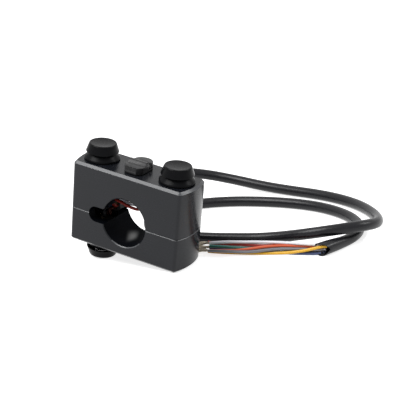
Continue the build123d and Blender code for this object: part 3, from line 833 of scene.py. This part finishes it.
# Push buttons: profiles of (radius, height above the housing) in millimetres
CAP_PROFILE = [
    (0, 7.15), (1.4, 7.17), (2.8, 7.24), (4, 7.34), (4.9, 7.44), (5.3, 7.48), (5.5, 7.5), (5.85, 7.5),
    (5.98, 7.43), (6.1, 7.25), (6.2, 7.05), (6.52, 6.2), (6.93, 5), (7.24, 4.12), (7.36, 3.86),
    (7.36, 3.76), (7.28, 3.7), (6.8, 3.7), (6.4, 4.6), (5.6, 6.4), (2.1, 6.4), (2.1, -6.6), (0, -6.6),
]
BODY_PROFILE = [
    (2.15, -6.3), (2.15, 1), (4, 1), (4, 3.2), (5.8, 3.2), (5.95, 3.15), (6.04, 3.02), (6.35, 2.6),
    (6.75, 2.15), (7.2, 1.68), (7.55, 1.36), (7.8, 1.12), (7.92, 0.9), (7.95, 0.7), (7.95, 0.4),
    (5, 0.4), (5, -9.8), (4.8, -10), (3.8, -10), (3.8, -6.3),
]
# The spring's turns and points, and the shares of its wire in the closed lower end and in the open turns
SPRING_TURNS = 6
SPRING_STEPS = 168
CLOSED_SHARE = 0.13
OPEN_SHARE = 0.74


def coil_spring(name, sizes):
    """A return spring of round wire, with open turns between its two closed ends."""
    low = sizes.spring_seat + sizes.spring_wire / 2
    high = sizes.spring_top - sizes.spring_wire / 2
    points = []
    for step in range(SPRING_STEPS + 1):
        share = step / SPRING_STEPS
        turn = math.tau * SPRING_TURNS * share
        rise = min(max((share - CLOSED_SHARE) / OPEN_SHARE, 0), 1)
        points.append((sizes.spring_radius * math.cos(turn), sizes.spring_radius * math.sin(turn),
                       low + (high - low) * rise))
    curve = new_curve(name, sizes.spring_wire, roundness=2)
    add_spline(curve, "POLY", points)
    return wire_piece(name, curve, smooth=60)


class CLUSTER_OT_buttons(ClusterOperator, bpy.types.Operator):
    """Turns each push button's dished cap and its body with the sloping bead, and winds its spring"""
    bl_idname = "cluster.buttons"
    bl_label = "Push buttons"

    def execute(self, context):
        sizes = context.scene.cluster_sizes
        half = sizes.button_spacing / 2
        seats = {"left_button": (-half, sizes.upper_height, 0),
                 "right_button": (half, sizes.upper_height, 0),
                 "lower_button": (sizes.lower_button, -sizes.lower_height, math.pi)}
        for button, (x, z, turn) in seats.items():
            cap = lathe(button + "_dome", in_metres(CAP_PROFILE), steps=128)
            body = lathe(button + "_barrel", in_metres(BODY_PROFILE), steps=128, ring=True)
            spring = coil_spring(button + "_coil", sizes)
            for piece in (cap, body, spring):
                move(piece, turn=(turn, 0, 0))
                move(piece, place=(x, 0, z))
                lean_over(piece)
            finished(cap, button, "Button cap")
            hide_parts(button + "_cap")
            finished(body, "housing", "Button body")
            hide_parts(button + "_body")
            finished(spring, "housing", "Plated steel")
            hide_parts(button + "_spring")
            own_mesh(spring)
        return {"FINISHED"}


# Slider knob in millimetres: its lift off the housing, top rounding and front corners
KNOB_LIFT = 0.3
KNOB_EDGE = 0.28
CORNER_X = 2.8
CORNER_Y = 2.7
# Three scallops in its front, which lean back a little
SCALLOP_RADIUS = 0.95
SCALLOP_PITCH = 1.85
SCALLOP_LOW = 1.5
SCALLOP_FOOT = 0.5
SCALLOP_HEAD = 0.2
# A notch in each side
NOTCH_RADIUS = 1.05
NOTCH_Y = 1.75
NOTCH_LOW = 0.8
# The thumb ridge as (Y, Z) points, and the teeth along its back edge
RIDGE_PROFILE = [(-2.45, -0.3), (1.05, -0.3), (1.05, 0.95), (0.8, 1.1), (-0.75, 1.1), (-1.0, 0.98)]
RIDGE_WIDTH = 8.7
RIDGE_PLACE = (-4.5, -0.4)
TOOTH_COUNT = 7
TOOTH_RADIUS = 0.36
TOOTH_PITCH = 1.24
TOOTH_FIRST = 3.7
TOOTH_START = (0.05, 1.25)
TOOTH_END = (2, 0.75)
# The square stem under it and the hollow in the stem, as half widths, depths and heights
STEM_HALF = 1.7
STEM_DEPTH = 2.7
HOLLOW_HALF = 1.2
HOLLOW_DEPTH = 3.7
HOLLOW_TOP = 1.55
KNOB_ROUNDING = 0.11


def knob_outline(sizes):
    """The knob from above: a straight front with cut corners and a half round back."""
    half = sizes.knob_width / 2
    front = -sizes.knob_length / 2
    back = sizes.knob_length / 2 - half
    corner = front + CORNER_Y * MM
    points = [(-half, corner), (-CORNER_X * MM, front), (CORNER_X * MM, front), (half, corner)]
    steps = 32
    for step in range(steps + 1):
        turn = math.pi * step / steps
        points.append((half * math.cos(turn), back + half * math.sin(turn)))
    return points


def ridge_bar(low):
    """The raised thumb ridge: a bar with a slanting front and a row of teeth along its back edge."""
    ridge = pull_up("ridge", in_metres(RIDGE_PROFILE), RIDGE_WIDTH * MM)
    move(ridge, turn=(math.pi / 2, 0, math.pi / 2))
    move(ridge, place=(RIDGE_PLACE[0] * MM, RIDGE_PLACE[1] * MM, low))
    for tooth in range(TOOTH_COUNT):
        x = (TOOTH_PITCH * tooth - TOOTH_FIRST) * MM
        start, end = [(x, y * MM, low + height * MM) for y, height in (TOOTH_START, TOOTH_END)]
        cut(ridge, add_rod("tooth", TOOTH_RADIUS * MM, start, end, sides=20))
    return ridge


class CLUSTER_OT_knob(ClusterOperator, bpy.types.Operator):
    """Models the slider's knob with its scalloped front, side notches and toothed ridge"""
    bl_idname = "cluster.knob"
    bl_label = "Slider knob"

    def execute(self, context):
        sizes = context.scene.cluster_sizes
        low = sizes.upper_height + KNOB_LIFT * MM
        top = low + sizes.knob_height
        knob = pull_up("thumb_knob", knob_outline(sizes), sizes.knob_height)
        choose_faces(knob, lambda spot: spot.z > sizes.knob_height - LEVEL)
        bevel_chosen(KNOB_EDGE * MM, segments=3)
        move(knob, place=(0, 0, low))
        front = -sizes.knob_length / 2
        for place in (-1, 0, 1):
            x = place * SCALLOP_PITCH * MM
            foot = (x, front - SCALLOP_FOOT * MM, low + SCALLOP_LOW * MM)
            head = (x, front - SCALLOP_HEAD * MM, top + MM)
            cut(knob, add_rod("scallop", SCALLOP_RADIUS * MM, foot, head, sides=40))
        for x in (-sizes.knob_width / 2, sizes.knob_width / 2):
            bottom = low + NOTCH_LOW * MM
            cut(knob, add_pin("side_notch", NOTCH_RADIUS * MM, x, NOTCH_Y * MM, bottom, top + MM, sides=40))
        combine(knob, ridge_bar(top), "UNION")
        stem = STEM_HALF * MM
        hollow = HOLLOW_HALF * MM
        combine(knob, add_post("stem", stem, stem, low - STEM_DEPTH * MM, low + MM), "UNION")
        cut(knob, add_post("hollow", hollow, hollow, low - HOLLOW_DEPTH * MM, low + HOLLOW_TOP * MM))
        round_edges(knob, KNOB_ROUNDING * MM, angle=40)
        lean_over(knob)
        tidy(knob, smooth=30)
        finished(knob, "slider", "Slider knob")
        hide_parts("slider_knob")
        return {"FINISHED"}


# Grommet: a profile of (radius, place along the cable) and its space round the bar, in millimetres
GROMMET_PROFILE = [
    (2.5, 4.4), (2.5, 10.9), (2.6, 11.1), (2.85, 11.2), (4.2, 11.2), (4.45, 11.08), (4.55, 10.85),
    (4.55, 10.5), (4.45, 10.4), (3.55, 10.4), (3.55, 4.6), (3.4, 4.4),
]
BAR_SPACE = 0.3


class CLUSTER_OT_grommet(ClusterOperator, bpy.types.Operator):
    """Turns the rubber grommet that holds the cable in the slot"""
    bl_idname = "cluster.grommet"
    bl_label = "Cable grommet"

    def execute(self, context):
        sizes = context.scene.cluster_sizes
        plug = lathe("grommet_plug", in_metres(GROMMET_PROFILE), steps=72, ring=True)
        move(plug, turn=(-math.pi / 2, 0, 0))
        move(plug, place=(sizes.slot_height / 2 - sizes.slot_reach, 0, 0))
        space = sizes.bore_radius + BAR_SPACE * MM
        cut(plug, add_rod("bar_space", space, (0, 0, 0), (0, 2 * sizes.depth, 0), sides=160))
        lean_over(plug)
        tidy(plug)
        finished(plug, "housing", "Gasket rubber")
        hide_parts("cable_grommet")
        return {"FINISHED"}


# Cable sleeve: how far from its cut end, in millimetres, it starts to flare, its lip is torn and its
# inner wall is made
FLARE_LENGTH = 17
LIP_LENGTH = 5
INSIDE_LENGTH = 9
# The shares of its radius by which its mouth flares, ripples, widens, rises above, sags below and lifts
FLARE = 0.27
RIPPLE = 0.04
WIDEN = 0.12
CROWN = 0.03
SAG = 0.13
LIFT = 0.16
# How far the torn lip reaches at its top and bottom, at one side and on the whole, in millimetres
LIP_REACH = (1.9, 1.2, -0.4)
# How many ripples go round the mouth, and where they start
RIPPLES = 3
RIPPLE_START = 0.6
# The scroll at the cut edge in millimetres: its turn in degrees, its size, and where it lies
CURL_START = 60
CURL_TURN = 330
CURL_RADIUS = 1.12
CURL_TIGHTER = 0.3
CURL_WALL = 0.34
CURL_LENGTH = 3.2
CURL_ROUNDING = 0.08
CURL_TILT = (0.25, 0, 0.12)
CURL_BACK = 2
CURL_ASIDE = 0.2
CURL_UP = 1.15


def ease(share):
    share = min(max(share, 0), 1)
    return share * share * (3 - 2 * share)


def sleeve_rings(line, radius, wall, sides):
    """The sleeve's skin: a soft round tube whose cut end flares, sags open and turns back inside."""
    rings = rings_along(line)
    left = [0]
    for a, b in zip(reversed(line[1:]), reversed(line[:-1])):
        left.append(left[-1] + (a - b).length)
    left.reverse()
    beyond, sideways, back = LIP_REACH

    def ring(index, thinner):
        spot, ahead, across, up = rings[index]
        flare = ease(1 - left[index] / (FLARE_LENGTH * MM))
        lip = ease(1 - left[index] / (LIP_LENGTH * MM))
        points = []
        for step in range(sides):
            turn = math.tau * step / sides
            ripple = RIPPLE * flare * math.sin(RIPPLES * turn + RIPPLE_START)
            size = radius * (1 + FLARE * flare + ripple) - thinner
            reach = lip * (beyond * abs(math.sin(turn)) + sideways * math.cos(turn) + back) * MM
            wide = math.cos(turn) * (1 + WIDEN * flare)
            tall = math.sin(turn) * (1 + CROWN * flare if math.sin(turn) > 0 else 1 - SAG * flare)
            lifted = spot + up * LIFT * radius * flare
            points.append(lifted + (across * wide + up * tall) * size + ahead * reach)
        return points

    outside = [ring(index, 0) for index in range(len(line))]
    deep = sum(1 for rest in left if rest < INSIDE_LENGTH * MM)
    inside = [ring(index, wall) for index in range(len(line) - 1, len(line) - deep, -1)]
    return outside + inside


def sleeve_curl(end, ahead, radius):
    """A little scroll where the sleeve's cut edge has rolled up."""
    steps = 28
    outer = []
    inner = []
    for step in range(steps + 1):
        turn = math.radians(CURL_START + CURL_TURN * step / steps)
        size = (CURL_RADIUS - CURL_TIGHTER * step / steps) * MM
        thin = size - CURL_WALL * MM
        outer.append((size * math.cos(turn), size * math.sin(turn)))
        inner.append((thin * math.cos(turn), thin * math.sin(turn)))
    curl = pull_up("sleeve_curl", outer + inner[::-1], CURL_LENGTH * MM)
    round_edges(curl, CURL_ROUNDING * MM, angle=50)
    move(curl, turn=(ahead + Vector(CURL_TILT)).to_track_quat("Z", "Y").to_euler())
    move(curl, place=end - ahead * CURL_BACK * MM + Vector((CURL_ASIDE * MM, 0, CURL_UP * MM - radius)))
    tidy(curl, smooth=50)
    return curl


class CLUSTER_OT_cable(ClusterOperator, bpy.types.Operator):
    """Lays the sleeve along its route, from the housing to its crumpled cut end"""
    bl_idname = "cluster.cable"
    bl_label = "Cable sleeve"

    def execute(self, context):
        sizes = context.scene.cluster_sizes
        points = on_table(SLEEVE_ROUTE)
        route = smooth_route("cable_line", points)
        line = read_line(route)
        bpy.data.objects.remove(route)
        radius = sizes.sleeve_diameter / 2
        sides = 40
        sleeve = tube_mesh("cable_sleeve_skin", sleeve_rings(line, radius, sizes.sleeve_wall, sides), sides)
        curl = sleeve_curl(line[-1], (line[-1] - line[-2]).normalized(), radius)
        for piece in (sleeve, curl):
            finished(piece, "housing", "Cable sleeve")
        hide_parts("cable_sleeve")
        return {"FINISHED"}


# Leads
def lay_lead(name, points, node, material):
    """Lays one lead as a round wire along its route, and gives it with its middle line."""
    route = smooth_route(name, points)
    line = read_line(route)
    route.data.bevel_depth = bpy.context.scene.cluster_sizes.lead_diameter / 2
    finished(route, "housing", material)
    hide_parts(node)
    return route, line


class CLUSTER_OT_leads(ClusterOperator, bpy.types.Operator):
    """Lays the loose leads at the cable's end and the ones inside the housing"""
    bl_idname = "cluster.leads"
    bl_label = "Leads"

    def execute(self, context):
        for lead, points in LEAD_ROUTES.items():
            route, line = lay_lead("loose_lead_" + lead, on_table(points), "lead_" + lead,
                                   lead.title() + " lead")
        # The leads inside the housing take the darker copies of their materials, painted shade
        for lead, points in INNER_ROUTES.items():
            lay_lead("housed_lead_" + lead, in_housing(points), "inner_lead_" + lead,
                     "Housed " + lead + " lead")
        return {"FINISHED"}


# Bare strands in millimetres: how far inside a lead they start, how far they reach, how thick their
# twist is and how high their ends lie at least; their ends lean towards the middle of all the tips
STRANDS_PER_LEAD = 7
STRAND_START = 0.8
STRAND_REACH = 5.2
TWIST_RADIUS = 0.34
END_HEIGHT = 1.1
GATHERING = 0.4
# How far they stray by chance in millimetres: their ends along X, Y and Z, their middles across and up
END_DRIFT = (0.6, 1.6, 1)
MIDDLE_DRIFT = (0.9, 0.5)
# The twist's width as shares of its radius: at the lead, more in the middle and more where it frays
WIDTH_AT_LEAD = 0.8
WIDTH_IN_MIDDLE = 0.5
WIDTH_OF_FRAY = 1.1
FRAY_START = 0.6


def strand_line(start, end, sway, spread, turn, pitch):
    """One fine strand: it leaves the lead, winds round its fellows and frays at the end."""
    ahead = (end - start).normalized()
    across = ahead.cross(Vector((0, 0, 1))).normalized()
    up = across.cross(ahead)
    points = []
    steps = 16
    for step in range(steps + 1):
        share = step / steps
        middle = start.lerp(end, share) + (across * sway[0] + up * sway[1]) * math.sin(math.pi * share)
        wound = turn + pitch * share
        fullness = math.sin(math.pi * share)
        frayed = ease((share - FRAY_START) / (1 - FRAY_START))
        size = spread * (WIDTH_AT_LEAD + WIDTH_IN_MIDDLE * fullness + WIDTH_OF_FRAY * frayed)
        points.append(middle + (across * math.cos(wound) + up * math.sin(wound)) * size)
    return points


class CLUSTER_OT_strands(ClusterOperator, bpy.types.Operator):
    """Twists the bare tinned strands that stick out of the stripped leads"""
    bl_idname = "cluster.strands"
    bl_label = "Bare strands"

    def execute(self, context):
        pick_place = random.Random(11)
        curve = new_curve("stripped_strands", context.scene.cluster_sizes.strand_diameter, roundness=1)
        routes = [on_table(points) for points in LEAD_ROUTES.values()]
        middle = sum((route[-1] for route in routes), Vector()) / len(routes)
        for route in routes:
            before, tip = route[-2:]
            ahead = (tip - before).normalized()
            drift = [pick_place.uniform(-1, 1) * MM for axis in range(4)]
            end = (tip.lerp(middle, GATHERING) + ahead * STRAND_REACH * MM
                   + Vector((END_DRIFT[0] * drift[3], END_DRIFT[1] * drift[0], END_DRIFT[2] * drift[1])))
            end.z = max(end.z, table_height() + END_HEIGHT * MM)
            pitch = pick_place.uniform(5, 10)
            sway = (MIDDLE_DRIFT[0] * drift[2], MIDDLE_DRIFT[1] * abs(drift[3]))
            for strand in range(STRANDS_PER_LEAD):
                spread = TWIST_RADIUS * MM if strand else 0
                turn = math.tau * strand / (STRANDS_PER_LEAD - 1)
                line = strand_line(tip - ahead * STRAND_START * MM, end, sway, spread, turn, pitch)
                add_spline(curve, "POLY", line)
        strands = wire_piece("stripped_strands", curve, smooth=70)
        finished(strands, "housing", "Tinned strands")
        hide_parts("bare_ends")
        return {"FINISHED"}


# The material of each slot, apart from the leads, whose slots are named after their colours
FINISHES = {
    "black_metal": "Black anodised housing", "black_gloss_plastic": "Button cap",
    "black_plastic": "Button body", "grey_plastic": "Slider knob", "inner_plastic": "Terminal board",
    "black_rubber": "Gasket rubber", "sleeve_rubber": "Cable sleeve", "steel": "Plated steel",
    "dark_steel": "Blackened screws", "brass": "Brass strip", "tinned_wire": "Tinned strands",
}


class CLUSTER_OT_plain_pieces(ClusterOperator, bpy.types.Operator):
    """Gives each piece that keeps its built shape its own finish"""
    bl_idname = "cluster.plain_pieces"
    bl_label = "Built pieces"

    def execute(self, context):
        for entry in frame["record"]["subparts"]:
            slot = entry["material_slot"]
            name = FINISHES.get(slot) or slot.replace("_wire", "").title() + " lead"
            materials = frame["nodes"][entry["node"]].data.materials
            materials.clear()
            materials.append(bpy.data.materials[name])
        return {"FINISHED"}


# Stage, with the camera's place and directions as fitted to the photograph
WHITE = (1, 1, 1, 1)
FLOOR_COLOUR = (0.86, 0.86, 0.86, 1)
CAMERA_PLACE = (0.3399, -0.4762, 0.1989)
CAMERA_RIGHT = (0.8564, 0.5091, -0.0856)
CAMERA_AHEAD = (-0.5074, 0.7995, -0.3215)
CAMERA_LENS = 121.15


class CLUSTER_OT_stage(ClusterOperator, bpy.types.Operator):
    """Sets up the pale floor, the soft light and the camera"""
    bl_idname = "cluster.stage"
    bl_label = "Stage"

    def execute(self, context):
        add_floor()
        add_world()
        add_lamp("Overhead softbox", place=(-0.28, -0.41, 0.87), size=0.56, power=9.3)
        add_lamp("Side softbox", place=(0.68, 0.5, 0.53), size=0.26, power=2)
        add_camera()
        context.scene.view_settings.view_transform = "Standard"
        return {"FINISHED"}


def choose_by_ray(tree, plain, shown, *kinds):
    """Gives the shown shader to the named kinds of ray, and the plain one to the rest."""
    light = tree.nodes.new("ShaderNodeLightPath").outputs
    mask = light[kinds[0]]
    for kind in kinds[1:]:
        mask = add_math(tree, "MAXIMUM", mask, light[kind])
    return add_node(tree, "ShaderNodeMixShader", {0: mask, 1: plain, 2: shown}).outputs[0]


def add_floor():
    clear()
    bpy.ops.mesh.primitive_plane_add(size=8, location=(0, 0, table_height()))
    floor = added("floor")
    tree, surface = material_base("Pale floor", shine=0)
    feed(tree, surface, {"Base Color": FLOOR_COLOUR, "Roughness": 0.9})
    glow = add_node(tree, "ShaderNodeEmission", {"Strength": 0.75})
    both = add_node(tree, "ShaderNodeAddShader", {0: surface.outputs[0], 1: glow.outputs[0]})
    seen = choose_by_ray(tree, surface.outputs[0], both.outputs[0], "Is Camera Ray", "Is Glossy Ray")
    feed(tree, tree.nodes["Material Output"], {"Surface": seen})
    floor.data.materials.append(bpy.data.materials["Pale floor"])


def add_world():
    world = bpy.data.worlds.new("Studio")
    bpy.context.scene.world = world
    world.use_nodes = True
    tree = world.node_tree
    soft = tree.nodes["Background"]
    feed(tree, soft, {"Color": WHITE, "Strength": 0.3})
    bright = add_node(tree, "ShaderNodeBackground", {"Color": WHITE, "Strength": 1})
    seen = choose_by_ray(tree, soft.outputs[0], bright.outputs[0], "Is Camera Ray", "Is Glossy Ray",
                         "Is Transmission Ray")
    feed(tree, tree.nodes["World Output"], {"Surface": seen})


def add_lamp(name, place, size, power):
    clear()
    bpy.ops.object.light_add(type="AREA", location=place)
    lamp = bpy.context.object
    lamp.name = name
    lamp.data.shape = "SQUARE"
    lamp.data.size = size
    lamp.data.energy = power
    lamp.rotation_euler = (-Vector(place)).to_track_quat("-Z", "Y").to_euler()


def add_camera():
    clear()
    bpy.ops.object.camera_add(location=CAMERA_PLACE)
    camera = bpy.context.object
    camera.name = "Camera"
    right = Vector(CAMERA_RIGHT)
    ahead = Vector(CAMERA_AHEAD)
    camera.rotation_euler = Matrix((right, right.cross(ahead), -ahead)).transposed().to_euler()
    camera.data.lens = CAMERA_LENS
    camera.data.clip_start = 0.02
    bpy.context.scene.camera = camera


class CLUSTER_PT_panel(bpy.types.Panel):
    bl_idname = "CLUSTER_PT_panel"
    bl_label = "Switch cluster"
    bl_space_type = "VIEW_3D"
    bl_region_type = "UI"
    bl_category = "Switch cluster"

    def draw(self, context):
        column = self.layout.column()
        for operator in OPERATORS:
            column.operator(operator.bl_idname)
        for group in (context.scene.cluster_sizes, context.scene.cluster_colours):
            for name in group.bl_rna.properties.keys():
                if name not in ("rna_type", "name"):
                    column.prop(group, name)


OPERATORS = (CLUSTER_OT_plain_pieces, CLUSTER_OT_housing, CLUSTER_OT_buttons, CLUSTER_OT_knob,
             CLUSTER_OT_grommet, CLUSTER_OT_cable, CLUSTER_OT_leads, CLUSTER_OT_strands, CLUSTER_OT_stage)
CLASSES = (ClusterSizes, ClusterColours, *OPERATORS, CLUSTER_PT_panel)


def register():
    for item in CLASSES:
        bpy.utils.register_class(item)
    bpy.types.Scene.cluster_sizes = bpy.props.PointerProperty(type=ClusterSizes)
    bpy.types.Scene.cluster_colours = bpy.props.PointerProperty(type=ClusterColours)


def unregister():
    del bpy.types.Scene.cluster_colours
    del bpy.types.Scene.cluster_sizes
    for item in reversed(CLASSES):
        bpy.utils.unregister_class(item)


def main():
    register()
    make_materials()
    for operator in OPERATORS:
        group, name = operator.bl_idname.split(".")
        getattr(getattr(bpy.ops, group), name)()


if __name__ == "__main__":
    main()
